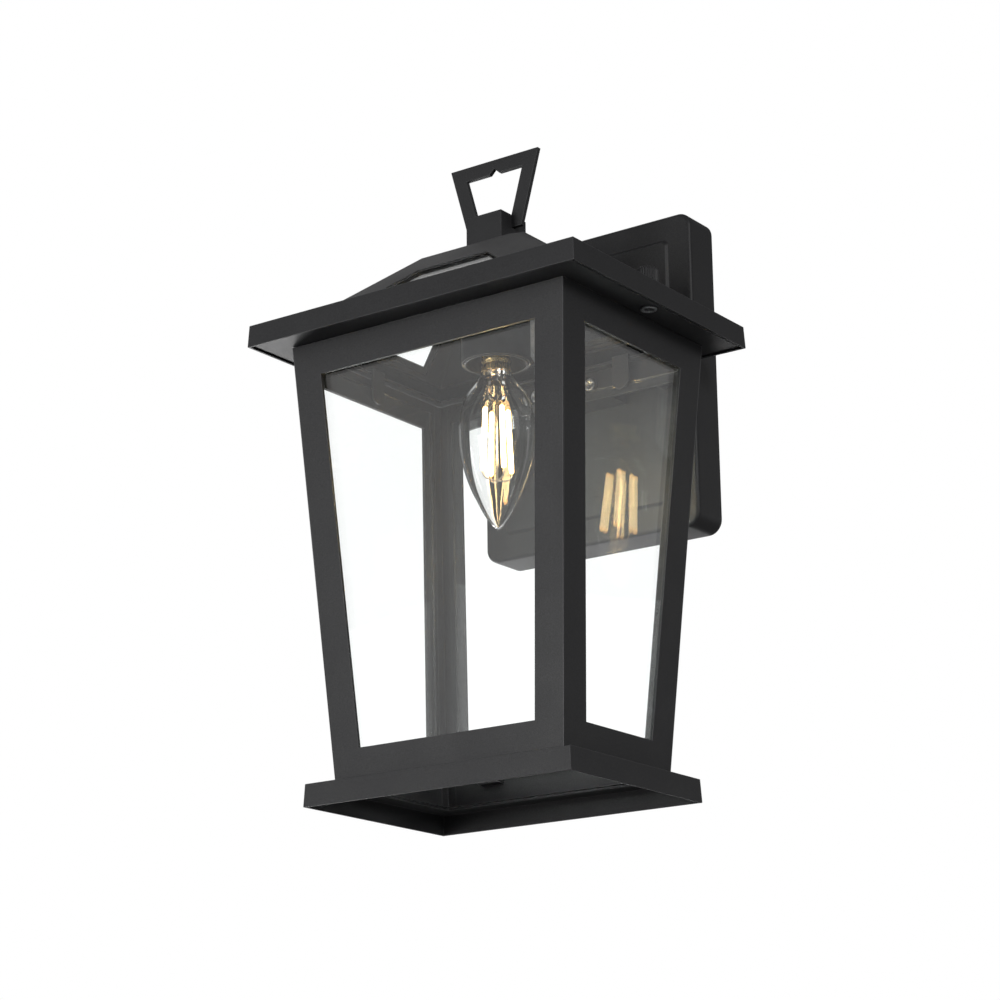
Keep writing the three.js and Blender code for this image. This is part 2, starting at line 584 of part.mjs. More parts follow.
// A centre wire runs down from the stem, and an arm at its foot reaches under each filament.
function supportWire() {
  const wireTop = new THREE.Vector3(0, 0, stemTop - STEM_LENGTH - SUPPORT.belowStem);
  const foot = new THREE.Vector3(0, 0, FILAMENT.low - SUPPORT.footDrop);
  const armEnds = filamentAngles.map((angle) => (
    aroundAxis(angle, FILAMENT.bottomSpread, FILAMENT.low - SUPPORT.armDrop)
  ));
  const arms = armEnds.map((end) => rodBetween(foot, end, SUPPORT.arm, 6));
  const wireFoot = foot.clone().setZ(foot.z - SUPPORT.arm);
  return join(rodBetween(wireFoot, wireTop, SUPPORT.wire, 8), ...arms);
}
add('bulb_support', supportWire(), zinc());

// ---------- wall plate ----------
const panelFace = PLATE.face - PANEL.rise;
const plateHalfX = PLATE.width / 2;
const plateHalfZ = (PLATE.high - PLATE.low) / 2;
function wallPlate() {
  const shell = wallSlab(plateHalfX, plateHalfZ, PLATE.corner, PLATE.face, WALL_Y, PLATE.edge);
  const panelX = plateHalfX - PANEL.inset;
  const panelZ = plateHalfZ - PANEL.inset;
  const panel = wallSlab(panelX, panelZ, PANEL.corner, panelFace, PLATE.face + 0.5, PANEL.bevel);
  const t = PLATE.sheet;
  const hollow = wallSlab(plateHalfX - t, plateHalfZ - t, PLATE.corner - t, PLATE.face + t, WALL_Y + 1, 0);
  const holes = [
    rodAlongY(LEAD.plateHole, 70, 80, 0, LEAD.z, 16),
    ...[-STUD.x, STUD.x].map((x) => rodAlongY(STUD.hole, 70, 80, x, STUD.z, 16)),
  ];
  return cut(join(shell, panel), hollow, ...holes);
}
add('wall_plate', wallPlate(), black());

const gasketFront = WALL_Y - GASKET.thick;
const outerInset = PLATE.sheet + GAP;
const innerInset = outerInset + GASKET.width;
const gasketRing = wallSlab(plateHalfX - outerInset, plateHalfZ - outerInset, 5, gasketFront, WALL_Y, 0);
const [holeX, holeZ] = [plateHalfX - innerInset, plateHalfZ - innerInset];
const gasketHole = wallSlab(holeX, holeZ, 3, gasketFront - 1, WALL_Y + 1, 0);
add('wall_gasket', cut(gasketRing, gasketHole), rubber());

const strapFront = WALL_Y - MOUNT_STRAP.thick;
function mountingStrap() {
  const { half, halfHeight, slotX, slotHalf, slotHalfHeight } = MOUNT_STRAP;
  const bar = box(-half, half, strapFront, WALL_Y, STUD.z - halfHeight, STUD.z + halfHeight);
  const [before, behind] = [strapFront - 1, WALL_Y + 1];
  const [slotLow, slotHigh] = [STUD.z - slotHalfHeight, STUD.z + slotHalfHeight];
  const slots = [-slotX, slotX].map((x) => (
    box(x - slotHalf, x + slotHalf, before, behind, slotLow, slotHigh)
  ));
  const threads = [-STUD.x, STUD.x].map((x) => rodAlongY(STUD.thread, before, behind, x, STUD.z, 12));
  const groundHole = rodAlongY(GROUND.hole, before, behind, GROUND.x, STUD.z, 12);
  return cut(bar, ...slots, ...threads, groundHole);
}
add('mounting_strap', mountingStrap(), zinc());

function capNut(x) {
  const hexBack = panelFace - 0.2;
  const hexFront = hexBack - CAP_NUT.hexHeight;
  const hex = rodAlongY(CAP_NUT.hex, hexFront, hexBack, x, STUD.z, 6);
  const dome = new THREE.SphereGeometry(CAP_NUT.dome, 16, 10).scale(1, 1.05, 1);
  dome.translate(x, hexFront + 0.2, STUD.z);
  return cut(join(hex, dome), rodAlongY(CAP_NUT.bore, panelFace - 5, panelFace + 1, x, STUD.z, 12));
}
[['left', -STUD.x], ['right', STUD.x]].forEach(([place, x]) => {
  const stud = rodAlongY(STUD.radius, panelFace - 4.6, WALL_Y - 0.2, x, STUD.z, 12);
  add(`plate_stud_${place}`, stud, zinc());
  add(`cap_nut_${place}`, capNut(x), black());
});

const groundBack = strapFront - 0.2;
const groundHead = rodAlongY(GROUND.head, groundBack - GROUND.headHeight, groundBack, GROUND.x, STUD.z, 16);
const groundShank = rodAlongY(GROUND.shank, strapFront - 0.5, WALL_Y - 0.2, GROUND.x, STUD.z, 10);
add('ground_screw', join(groundHead, groundShank), greenSteel());

// ---------- arm between body and plate ----------
const backOuter = (z) => bodyY(z) + 0.35;
const armEnd = panelFace - 0.25;
const armSection = [ARM.low, ARM.high].flatMap((z) => [[backOuter(z), z], [armEnd, z]]);
const armBlank = hull([-ARM.halfX, ARM.halfX].flatMap((x) => armSection.map(([y, z]) => [x, y, z])));
const armHoles = [
  rodAlongY(ARM.bore, 40, 80, 0, LEAD.z, 16),
  ...[-ARM.screwX, ARM.screwX].map((x) => rodAlongY(ARM.screwHole, 40, 80, x, LEAD.z, 12)),
];
add('arm', cut(armBlank, ...armHoles), black());

const railInner = bodyY(LEAD.z) - BODY.sheet - 0.5;
function armScrew(x) {
  const head = rodAlongY(ARM.screwHead, railInner - 2.2, railInner - 0.1, x, LEAD.z, 16);
  return join(head, rodAlongY(1.55, railInner - 0.5, armEnd - 1, x, LEAD.z, 12));
}
add('arm_screw_left', armScrew(-ARM.screwX), zinc());
add('arm_screw_right', armScrew(ARM.screwX), zinc());

// ---------- lead from the holder to the connector behind the plate ----------
const connectorX = (CONNECTOR.x0 + CONNECTOR.x1) / 2;
const connectorY = (CONNECTOR.y0 + CONNECTOR.y1) / 2;
const leadPoints = [
  // up out of the nipple and down behind the socket strap
  [0, 0, nippleLow + 2], [0, 0, nippleHigh + 1], [2.5, 3.5, 243.2], [8.5, 11, 242], [12, 21, 238],
  [12.6, 33, 229], [12.6, 41.5, 219],
  // through the arm
  [9.5, 45.5, 209.5], [3, 49.5, 205.6], [0, 55, LEAD.z], [0, 66, LEAD.z], [0, 76, LEAD.z - 0.2],
  // down behind the wall plate, into the connector's top
  [2.5, 83, 200], [9, 85, 195.5], [18, 84.6, 194], [22.6, connectorY, 190.5],
  [connectorX, connectorY, CONNECTOR.z1 + 2], [connectorX, connectorY, CONNECTOR.z1 + 0.4],
];
const leadVectors = leadPoints.map(([x, y, z]) => new THREE.Vector3(x, y, z));
const leadRoute = new THREE.CatmullRomCurve3(leadVectors, false, 'centripetal');
const leadSection = new THREE.Shape();
leadSection.absarc(0, 0, LEAD.radius, 0, Math.PI * 2);
const leadSettings = { steps: 56, curveSegments: 4, extrudePath: leadRoute, bevelEnabled: false };
add('lamp_lead', new THREE.ExtrudeGeometry(leadSection, leadSettings), sleeving());
const { x0, x1, y0, y1, z0, z1 } = CONNECTOR;
const connectorBody = box(x0, x1, y0, y1, z0, z1);
const connectorPorts = [-6, 0, 6].map((across) => {
  const x = connectorX + across;
  return box(x - 1.8, x + 1.8, connectorY - 2.5, connectorY + 2.5, z0 - 1, z0 + 8);
});
add('lead_connector', cut(connectorBody, ...connectorPorts), sleeving());

lantern.position.set(0, -WALL_Y, -STUD.z);

export default lantern;
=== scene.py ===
"""Outdoor wall lantern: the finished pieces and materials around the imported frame.

Everything is in metres in the row frame: +Z up, +Y into the wall, the lantern faces -Y, and the
origin is on the wall, in the middle of the mounting strap's back.
"""

import json
import math

import bmesh
import bpy
from mathutils import Matrix, Vector


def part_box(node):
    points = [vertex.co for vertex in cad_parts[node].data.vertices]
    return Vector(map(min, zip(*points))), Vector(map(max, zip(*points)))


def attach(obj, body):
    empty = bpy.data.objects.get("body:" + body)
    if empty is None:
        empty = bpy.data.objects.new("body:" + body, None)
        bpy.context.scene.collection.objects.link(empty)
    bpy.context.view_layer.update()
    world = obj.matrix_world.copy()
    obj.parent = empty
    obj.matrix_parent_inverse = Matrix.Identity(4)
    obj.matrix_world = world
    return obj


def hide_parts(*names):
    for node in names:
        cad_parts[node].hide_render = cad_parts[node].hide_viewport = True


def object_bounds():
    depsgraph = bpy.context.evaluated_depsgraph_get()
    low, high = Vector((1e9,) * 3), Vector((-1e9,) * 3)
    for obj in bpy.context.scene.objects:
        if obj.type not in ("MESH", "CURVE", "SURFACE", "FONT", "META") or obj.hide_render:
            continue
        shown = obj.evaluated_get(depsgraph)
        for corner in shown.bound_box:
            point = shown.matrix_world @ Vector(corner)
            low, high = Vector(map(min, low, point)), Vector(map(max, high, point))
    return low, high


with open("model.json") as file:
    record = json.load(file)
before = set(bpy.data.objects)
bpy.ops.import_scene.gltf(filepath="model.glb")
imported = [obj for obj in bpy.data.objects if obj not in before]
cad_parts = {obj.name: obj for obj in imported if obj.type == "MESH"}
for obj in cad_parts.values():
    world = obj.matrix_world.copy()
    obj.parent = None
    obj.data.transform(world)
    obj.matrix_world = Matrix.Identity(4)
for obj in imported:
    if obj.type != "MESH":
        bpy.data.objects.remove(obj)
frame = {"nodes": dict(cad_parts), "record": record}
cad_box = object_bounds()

MM = 0.001

BODIES = frame["record"]["behaviour"]["bodies"]
BODY_OF = {node: body for body, nodes in BODIES.items() for node in nodes}
SLOT_OF = {row["node"]: row["material_slot"] for row in frame["record"]["subparts"]}

# ---------- camera ----------
CAMERA_PLACE = (0.66958, -1.02854, -0.40448)
CAMERA_TURN = 35.634  # degrees to the right of straight on
CAMERA_PITCH = 16.423  # degrees upwards
CAMERA_ROLL = -0.666
CAMERA_LENS = 95.365  # millimetres
CAMERA_SENSOR = 36  # millimetres wide


def make_camera():
    """The camera looks up at the lantern from its front right."""
    turn, pitch, roll = (math.radians(v) for v in (CAMERA_TURN, CAMERA_PITCH, CAMERA_ROLL))
    level_reach = math.cos(pitch)
    ahead = Vector((-math.sin(turn) * level_reach, math.cos(turn) * level_reach, math.sin(pitch)))
    level = Vector((math.cos(turn), math.sin(turn), 0))
    upright = level.cross(ahead)
    right = level * math.cos(roll) + upright * math.sin(roll)
    up = upright * math.cos(roll) - level * math.sin(roll)
    camera = bpy.data.objects.new("camera", bpy.data.cameras.new("camera"))
    camera.data.lens = CAMERA_LENS
    camera.data.sensor_width = CAMERA_SENSOR
    camera.matrix_world = Matrix((
        (right.x, up.x, -ahead.x, CAMERA_PLACE[0]),
        (right.y, up.y, -ahead.y, CAMERA_PLACE[1]),
        (right.z, up.z, -ahead.z, CAMERA_PLACE[2]),
        (0, 0, 0, 1),
    ))
    bpy.context.scene.collection.objects.link(camera)
    bpy.context.scene.camera = camera


# ---------- materials ----------
class Look:
    """A Principled material and the few kinds of node that the materials below share."""

    def __init__(self, name, color=(0.8, 0.8, 0.8), roughness=0.5, metallic=0.0):
        self.material = bpy.data.materials.new(name)
        self.material.use_nodes = True
        self.tree = self.material.node_tree
        self.shader = self.tree.nodes["Principled BSDF"]
        self.output = self.tree.nodes["Material Output"]
        self.place = self.node("ShaderNodeTexCoord").outputs["Object"]
        self.shader.inputs["Base Color"].default_value = (*color, 1)
        self.shader.inputs["Roughness"].default_value = roughness
        self.shader.inputs["Metallic"].default_value = metallic

    def node(self, kind):
        return self.tree.nodes.new(kind)

    def link(self, source, target):
        self.tree.links.new(source, target)

    def noise(self, size_mm, detail=3.0, stretch=(1, 1, 1)):
        """Noise with features about size_mm across, longer along an axis whose stretch is below 1."""
        mapping = self.node("ShaderNodeMapping")
        mapping.inputs["Scale"].default_value = stretch
        self.link(self.place, mapping.inputs["Vector"])
        noise = self.node("ShaderNodeTexNoise")
        noise.inputs["Scale"].default_value = 1 / (size_mm * MM)
        noise.inputs["Detail"].default_value = detail
        self.link(mapping.outputs["Vector"], noise.inputs["Vector"])
        return noise.outputs["Fac"]

    def ramp(self, value, low, high, first, last):
        """Maps value from the range low..high to the range first..last, held at the ends."""
        remap = self.node("ShaderNodeMapRange")
        for key, number in (("From Min", low), ("From Max", high), ("To Min", first), ("To Max", last)):
            remap.inputs[key].default_value = number
        self.link(value, remap.inputs["Value"])
        return remap.outputs["Result"]

    def blend(self, share, first, last):
        """A colour that goes from first to last. Either may be a socket."""
        mix = self.node("ShaderNodeMix")
        mix.data_type = "RGBA"
        self.link(share, mix.inputs["Factor"])
        for socket, color in ((mix.inputs[6], first), (mix.inputs[7], last)):
            if isinstance(color, tuple):
                socket.default_value = (*color, 1)
            else:
                self.link(color, socket)
        return mix.outputs[2]

    def bump(self, height, depth_mm, strength=1.0, under=None):
        bump = self.node("ShaderNodeBump")
        bump.inputs["Strength"].default_value = strength
        bump.inputs["Distance"].default_value = depth_mm * MM
        self.link(height, bump.inputs["Height"])
        if under is not None:
            self.link(under, bump.inputs["Normal"])
        return bump.outputs["Normal"]

    def rubbed_and_highlit_edges(self, radius_mm):
        """1 on sharp outer edges and 0 on flat ground, from how far a rounded normal turns away. It marks
        where the coat is painted paler, partly as wear and partly as a painted highlight.
        """
        rounded = self.node("ShaderNodeBevel")
        rounded.samples = 4
        rounded.inputs["Radius"].default_value = radius_mm * MM
        geometry = self.node("ShaderNodeNewGeometry")
        turn = self.node("ShaderNodeVectorMath")
        turn.operation = "DOT_PRODUCT"
        self.link(rounded.outputs["Normal"], turn.inputs[0])
        self.link(geometry.outputs["Normal"], turn.inputs[1])
        return self.ramp(turn.outputs["Value"], 0.985, 0.90, 0.0, 1.0)

    def use(self, **sockets):
        for key, socket in sockets.items():
            self.link(socket, self.shader.inputs[key.replace("_", " ")])


COAT_DARK = (0.013, 0.013, 0.014)
COAT_PALE = (0.03, 0.03, 0.032)
COAT_CLOUD = (0.032, 0.032, 0.035)
# paler colour for the edges: partly rubbed coat, partly a painted highlight along them
COAT_RUBBED_AND_HIGHLIT_EDGE = (0.1, 0.1, 0.105)


def powder_coat():
    """Black powder coat: fine grain on a coarser one, a little cloudy, and paler on its edges, partly as
    rubbed coat and partly as a painted highlight.
    """
    look = Look("black_powder_coat")
    grain = look.noise(size_mm=0.42, detail=2.0)
    cloud = look.noise(size_mm=26, detail=3.0)
    edge = look.rubbed_and_highlit_edges(radius_mm=0.5)
    grainy = look.blend(look.ramp(grain, 0.35, 0.65, 0.0, 1.0), COAT_DARK, COAT_PALE)
    cloudy = look.blend(look.ramp(cloud, 0.3, 0.7, 0.0, 0.35), grainy, COAT_CLOUD)
    # the edges are painted paler: partly rubbed coat, partly a painted highlight
    look.use(Base_Color=look.blend(edge, cloudy, COAT_RUBBED_AND_HIGHLIT_EDGE))
    coarse = look.bump(look.noise(size_mm=1.1, detail=2.0), depth_mm=0.07, strength=0.5)
    fine = look.bump(grain, depth_mm=0.05, strength=0.7, under=coarse)
    look.use(Roughness=look.ramp(cloud, 0.3, 0.7, 0.46, 0.54), Normal=fine)
    look.shader.inputs["Specular IOR Level"].default_value = 0.45
    return look.material


GLASS_PALE = (0.99, 0.995, 0.993)
GLASS_SHADOW = (0.93, 0.95, 0.94, 1)


def clear_glass(name, tint, ripple_mm):
    """Glass with a faint ripple. Shadow rays pass straight through it, so what it covers is lit."""
    look = Look(name, roughness=0.0)
    look.shader.inputs["Transmission Weight"].default_value = 1.0
    look.shader.inputs["IOR"].default_value = 1.5
    ripple = look.noise(ripple_mm, 1.0)
    look.use(Base_Color=look.blend(ripple, tint, GLASS_PALE))
    look.use(Normal=look.bump(ripple, depth_mm=0.02, strength=0.06))
    through = look.node("ShaderNodeBsdfTransparent")
    through.inputs["Color"].default_value = GLASS_SHADOW
    mix = look.node("ShaderNodeMixShader")
    look.link(look.node("ShaderNodeLightPath").outputs["Is Shadow Ray"], mix.inputs[0])
    look.link(look.shader.outputs["BSDF"], mix.inputs[1])
    look.link(through.outputs["BSDF"], mix.inputs[2])
    look.link(mix.outputs["Shader"], look.output.inputs["Surface"])
    return look.material


def plated_metal(name, pale, dark, roughness, brushing=(1, 1, 0.08)):
    """Bare or plated metal: faint streaks along Z, and patches of a darker tone."""
    look = Look(name, metallic=1.0)
    streak = look.noise(0.35, 3.0, brushing)
    bloom = look.noise(7, 2.0)
    look.use(Base_Color=look.blend(look.ramp(bloom, 0.35, 0.7, 0.0, 1.0), pale, dark))
    look.use(Roughness=look.ramp(streak, 0.3, 0.7, roughness - 0.07, roughness + 0.09))
    look.use(Normal=look.bump(streak, depth_mm=0.012, strength=0.4))
    return look.material


def moulded(name, pale, dark, roughness, grain_mm, depth_mm):
    """Plastic or foam, with a grain on its surface."""
    look = Look(name)
    grain = look.noise(grain_mm, 3.0)
    cloud = look.noise(9, 2.0)
    look.use(Base_Color=look.blend(look.ramp(cloud, 0.3, 0.7, 0.0, 1.0), pale, dark))
    look.use(Roughness=look.ramp(grain, 0.3, 0.7, roughness - 0.06, roughness + 0.08))
    look.use(Normal=look.bump(grain, depth_mm, strength=0.6))
    return look.material


def glass_fibre_sleeving():
    """The woven sleeve around the lead."""
    look = Look("glass_fibre_sleeving")
    weave = look.node("ShaderNodeTexWave")
    weave.wave_type = "BANDS"
    weave.bands_direction = "DIAGONAL"
    weave.inputs["Scale"].default_value = 700
    weave.inputs["Distortion"].default_value = 1.2
    look.link(look.place, weave.inputs["Vector"])
    thread = weave.outputs["Fac"]
    look.use(Base_Color=look.blend(thread, (0.62, 0.58, 0.5), (0.82, 0.79, 0.72)))
    look.use(Roughness=look.ramp(thread, 0.0, 1.0, 0.85, 0.7))
    look.use(Normal=look.bump(thread, depth_mm=0.08, strength=0.7))
    return look.material


WARM_END = 3.5  # length of a filament's warmer end, in millimetres
WARM = (1.0, 0.42, 0.07)
HOT = (1.0, 0.73, 0.36)


def filament_phosphor():
    """Lit phosphor: white-hot in its middle and warmer towards both ends, where it is thinner."""
    look = Look("filament_phosphor", (0.95, 0.72, 0.28), 0.6)
    lowest, highest = (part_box("filament_1")[side].z for side in (0, 1))
    height = look.node("ShaderNodeSeparateXYZ")
    look.link(look.place, height.inputs[0])
    end = WARM_END * MM
    rise = look.ramp(height.outputs["Z"], lowest, lowest + end, 0.0, 1.0)
    fall = look.ramp(height.outputs["Z"], highest - end, highest, 1.0, 0.0)
    share = look.node("ShaderNodeMath")
    share.operation = "MULTIPLY"
    look.link(rise, share.inputs[0])
    look.link(fall, share.inputs[1])
    heat = share.outputs[0]
    look.use(Emission_Color=look.blend(heat, WARM, HOT))
    dimmest, brightest = 6.0, 26.0
    look.use(Emission_Strength=look.ramp(heat, 0.0, 1.0, dimmest, brightest))
    return look.material


def make_materials():
    return {
        "black_powder_coat": powder_coat(),
        "clear_glass": clear_glass("clear_glass", (0.97, 0.985, 0.98), 60),
        "bulb_glass": clear_glass("bulb_glass", (0.98, 0.985, 0.98), 22),
        "zinc_steel": plated_metal("zinc_steel", (0.62, 0.63, 0.65), (0.5, 0.51, 0.52), 0.3),
        "brass": plated_metal("brass", (0.78, 0.58, 0.27), (0.6, 0.42, 0.17), 0.27),
        "ground_green": plated_metal("ground_green", (0.08, 0.36, 0.13), (0.04, 0.24, 0.08), 0.33),
        "phenolic": moulded("phenolic", (0.022, 0.022, 0.023), (0.034, 0.033, 0.033), 0.42, 0.5, 0.02),
        "foam_gasket": moulded("foam_gasket", (0.03, 0.03, 0.03), (0.055, 0.055, 0.055), 0.9, 0.8, 0.25),
        "lead_sleeving": glass_fibre_sleeving(),
        "filament_phosphor": filament_phosphor(),
    }


MATERIALS = make_materials()


# ---------- putting pieces in place ----------
SAME_POINT = 0.002  # millimetres
SAME_PLANE = 0.6  # degrees
SHARP_EDGE = 28  # degrees


def stand_for(piece, *nodes):
    """The piece is shown in place of these nodes, with the body, slot and material of the first."""
    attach(piece, BODY_OF[nodes[0]])
    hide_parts(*nodes)
    slot = SLOT_OF[nodes[0]]
    piece.data.materials.clear()
    piece.data.materials.append(MATERIALS[slot])
    return piece


def to_object(name, shape):
    """Turns the shape into a smooth-shaded object, and frees it."""
    mesh = bpy.data.meshes.new(name)
    bmesh.ops.recalc_face_normals(shape, faces=shape.faces)
    shape.to_mesh(mesh)
    shape.free()
    mesh.polygons.foreach_set("use_smooth", [True] * len(mesh.polygons))
    made = bpy.data.objects.new(name, mesh)
    bpy.context.scene.collection.objects.link(made)
    return made


def copied(*nodes):
    """One mesh with the nodes' shapes, with points that coincide merged into one."""
    shape = bmesh.new()
    for node in nodes:
        shape.from_mesh(frame["nodes"][node].data)
    bmesh.ops.remove_doubles(shape, verts=shape.verts, dist=SAME_POINT * MM)
    return shape


def whole_faces(shape):
    limit = math.radians(SAME_PLANE)
    bmesh.ops.dissolve_limit(shape, angle_limit=limit, verts=shape.verts, edges=shape.edges)


def round_edges(piece, width_mm, segments=3):
    bevel = piece.modifiers.new("rounded_edges", "BEVEL")
    bevel.width = width_mm * MM
    bevel.segments = segments
    bevel.limit_method = "ANGLE"
    bevel.angle_limit = math.radians(SHARP_EDGE)
    return true_normals(piece)


def true_normals(piece):
    """Broad faces keep their own normal, so they stay flat, and the rounding turns between them."""
    normals = piece.modifiers.new("true_normals", "WEIGHTED_NORMAL")
    normals.mode = "FACE_AREA"
    normals.weight = 100
    return piece


def softened(node, width_mm, segments=3):
    """The node's own shape with its edges rounded over, as sheet metal and coating leave them."""
    shape = copied(node)
    whole_faces(shape)
    piece = to_object(f"{node}_fine", shape)
    round_edges(piece, width_mm, segments)
    return stand_for(piece, node)


# ---------- turned pieces ----------
POLE = 1e-7  # a smaller radius is a pole, in metres
NEAR_AXIS = 1e-6  # metres
GRID_STEPS = 1e5  # steps in a metre that a profile is read in
STRAIGHT_ON = -0.94  # cosine between a corner's two sides, below which it isn't eased
LONGEST_CUT = 0.4  # share of a side that an eased corner may take


def turned_shape(profile, sides, about=Vector((0, 0, 0)), axis="Z", radius_at=None):
    """A closed surface from a profile of (radius, height) pairs. Radius 0 makes a pole."""
    shape = bmesh.new()
    place = {"Z": lambda a, b, h: (a, b, h), "Y": lambda a, b, h: (a, h, b)}[axis]
    rings = []
    for radius, height in profile:
        if radius < POLE:
            rings.append([shape.verts.new(about + Vector(place(0, 0, height)))])
            continue
        ring = []
        for i in range(sides):
            angle = 2 * math.pi * i / sides
            r = radius_at(radius, height, angle) if radius_at else radius
            point = Vector(place(r * math.cos(angle), r * math.sin(angle), height))
            ring.append(shape.verts.new(about + point))
        rings.append(ring)
    closed = len(rings[0]) > 1
    for low, high in zip(rings, rings[1:] + rings[:1] if closed else rings[1:]):
        for i in range(sides):
            j = (i + 1) % sides
            corners = [low[i % len(low)], low[j % len(low)], high[j % len(high)], high[i % len(high)]]
            corners = list(dict.fromkeys(corners))
            if len(corners) > 2:
                shape.faces.new(corners)
    return shape


def profile_of(node, axis="Z", about=Vector((0, 0, 0))):
    """The (radius, height) profile of a turned node, in order, read from its mesh."""
    shape = copied(node)

    def key(vertex):
        point = vertex.co - about
        side, height = (point.y, point.z) if axis == "Z" else (point.z, point.y)
        return round(math.hypot(point.x, side) * GRID_STEPS), round(height * GRID_STEPS)

    neighbours = {}
    for edge in shape.edges:
        a, b = (key(v) for v in edge.verts)
        if a != b:
            neighbours.setdefault(a, set()).add(b)
            neighbours.setdefault(b, set()).add(a)
    shape.free()
    poles = sorted(k for k in neighbours if k[0] == 0)
    start = poles[0] if poles else min(neighbours)
    path, here = [start], start
    while True:
        onward = [k for k in sorted(neighbours[here]) if k not in path]
        if not onward:
            break
        here = onward[0]
        path.append(here)
    return [(r / GRID_STEPS, h / GRID_STEPS) for r, h in path]


def eased(profile, easing_mm, closed):
    """The profile with each corner cut into a short curve."""
    points = [Vector(p) for p in profile]
    made = []
    for i, point in enumerate(points):
        if not closed and i in (0, len(points) - 1):
            made.append(point)
            continue
        before, after = points[i - 1] - point, points[(i + 1) % len(points)] - point
        straight = before.normalized().dot(after.normalized()) < STRAIGHT_ON
        if straight:
            made.append(point)
            continue
        cut = min(easing_mm * MM, before.length * LONGEST_CUT, after.length * LONGEST_CUT)
        start, end = point + before.normalized() * cut, point + after.normalized() * cut
        for t in (0, 0.25, 0.5, 0.75, 1):
            made.append(start * (1 - t) ** 2 + point * 2 * t * (1 - t) + end * t ** 2)
    return [(max(p.x, 0), p.y) for p in made]


def respun(node, sides=64, easing_mm=0.2, axis="Z", about=Vector((0, 0, 0))):
    """A turned node made round, with eased corners."""
    profile = profile_of(node, axis, about)
    closed = profile[0][0] > NEAR_AXIS
    shape = turned_shape(eased(profile, easing_mm, closed), sides, about, axis)
    return stand_for(to_object(f"{node}_fine", shape), node)


BODY_AXIS = (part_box("bulb_envelope")[0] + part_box("bulb_envelope")[1]) / 2
BODY_AXIS.z = 0


# ---------- body ----------
BAR_GAP = 0.2  # from the corner of the sheets to the bar, in millimetres
BAR_DEPTH = 1.48
BAR_LEG = 6
BAR_INSET = 0.1  # from the sheets' lowest and highest level
MITRE_GAP = 0.5  # millimetres
CORNER_BAND = 3  # height in which a corner's end is looked for, in millimetres
BODY_EDGE = 0.4


def corner_bar(shape, foot, head, low, high):
    """An angle bar just inside a corner of the body, where the sheets' mitres leave a groove."""
    sx, sy = (math.copysign(1, value) for value in (foot.x - BODY_AXIS.x, foot.y - BODY_AXIS.y))
    near, deep, leg = BAR_GAP * MM, BAR_DEPTH * MM, BAR_LEG * MM
    outline = ((near, near), (near, leg), (deep, leg), (deep, deep), (leg, deep), (leg, near))
    rings = []
    for level in (low + BAR_INSET * MM, high - BAR_INSET * MM):
        corner = foot + (head - foot) * ((level - foot.z) / (head.z - foot.z))
        rings.append([shape.verts.new(corner - Vector((sx * u, sy * v, 0))) for u, v in outline])
    for i in range(len(outline)):
        j = (i + 1) % len(outline)
        shape.faces.new((rings[0][i], rings[0][j], rings[1][j], rings[1][i]))
    shape.faces.new(rings[0])
    shape.faces.new(rings[1])


def body_shell():
    """The four sides as one welded body, with the mitres' outer gaps and inner grooves closed."""
    names = [f"{side}_frame" for side in ("front", "right", "back", "left")]
    shape = copied(*names)
    place = {v: v.co.copy() for v in shape.verts}

    def has_neighbour(v):
        return any(v is not w and (place[v] - place[w]).length < MITRE_GAP * MM for w in place)

    corners = [v for v in place if has_neighbour(v)]
    beside_gap = set(corners)
    facing = [
        f for f in shape.faces
        if all(v in beside_gap for v in f.verts)
        and len({(v.co.x > BODY_AXIS.x, v.co.y > BODY_AXIS.y) for v in f.verts}) == 1
        and abs(f.normal.z) < 0.9  # the sheets' ends, which lie level, stay
    ]
    bmesh.ops.delete(shape, geom=facing, context="FACES_ONLY")
    bmesh.ops.remove_doubles(shape, verts=corners, dist=MITRE_GAP * MM)
    whole_faces(shape)
    low, high = (side(v.co.z for v in shape.verts) for side in (min, max))
    for sx, sy in ((-1, -1), (1, -1), (1, 1), (-1, 1)):
        ends = []
        for level in (low, high):
            near_level = [v.co for v in shape.verts if abs(v.co.z - level) < CORNER_BAND * MM]
            ends.append(max(near_level, key=lambda co: sx * co.x + sy * co.y).copy())
        corner_bar(shape, *ends, low, high)
    piece = to_object("body_shell", shape)
    round_edges(piece, BODY_EDGE)
    return stand_for(piece, *names)


# node: width of its rounded edges in millimetres
SHEET_PIECES = {
    "base_tray": 0.3, "lid_tray": 0.35, "cap": 0.3, "eave_plate": 0.3,
    "arm": 0.6, "finial_block": 0.45, "finial_loop": 0.3,
    "mounting_strap": 0.3, "socket_strap": 0.3, "nipple_nut": 0.4,
    "wall_gasket": 0.3, "lead_connector": 0.8, "socket_contact": 0.1,
}
PANES = [f"{side}_pane" for side in ("front", "right", "back", "left")]
PANES += [f"skylight_{side}" for side in ("front", "right", "back", "left")]
CLIPS = [
    f"pane_clip_{place}"
    for place in ("front_left", "front_right", "back_left", "back_right", "left", "right")
]
PANE_EDGE = 0.2
CLIP_EDGE = 0.15


# ---------- wall plate ----------
PLATE_CORNER = 7 * MM
PLATE_EDGE = 2 * MM
PLATE_SHEET = 1.5 * MM
PANEL_INSET = 12 * MM
PANEL_RISE = 1.5 * MM
PANEL_BEVEL = 1.8 * MM
PANEL_CORNER = PLATE_CORNER - 4 * MM
SMALLEST_CORNER = 0.4 * MM
INNER_EDGE = PLATE_EDGE - 0.5 * MM
RIM_INSIDE = 0.2 * MM
RIM_OUTSIDE = 0.25 * MM


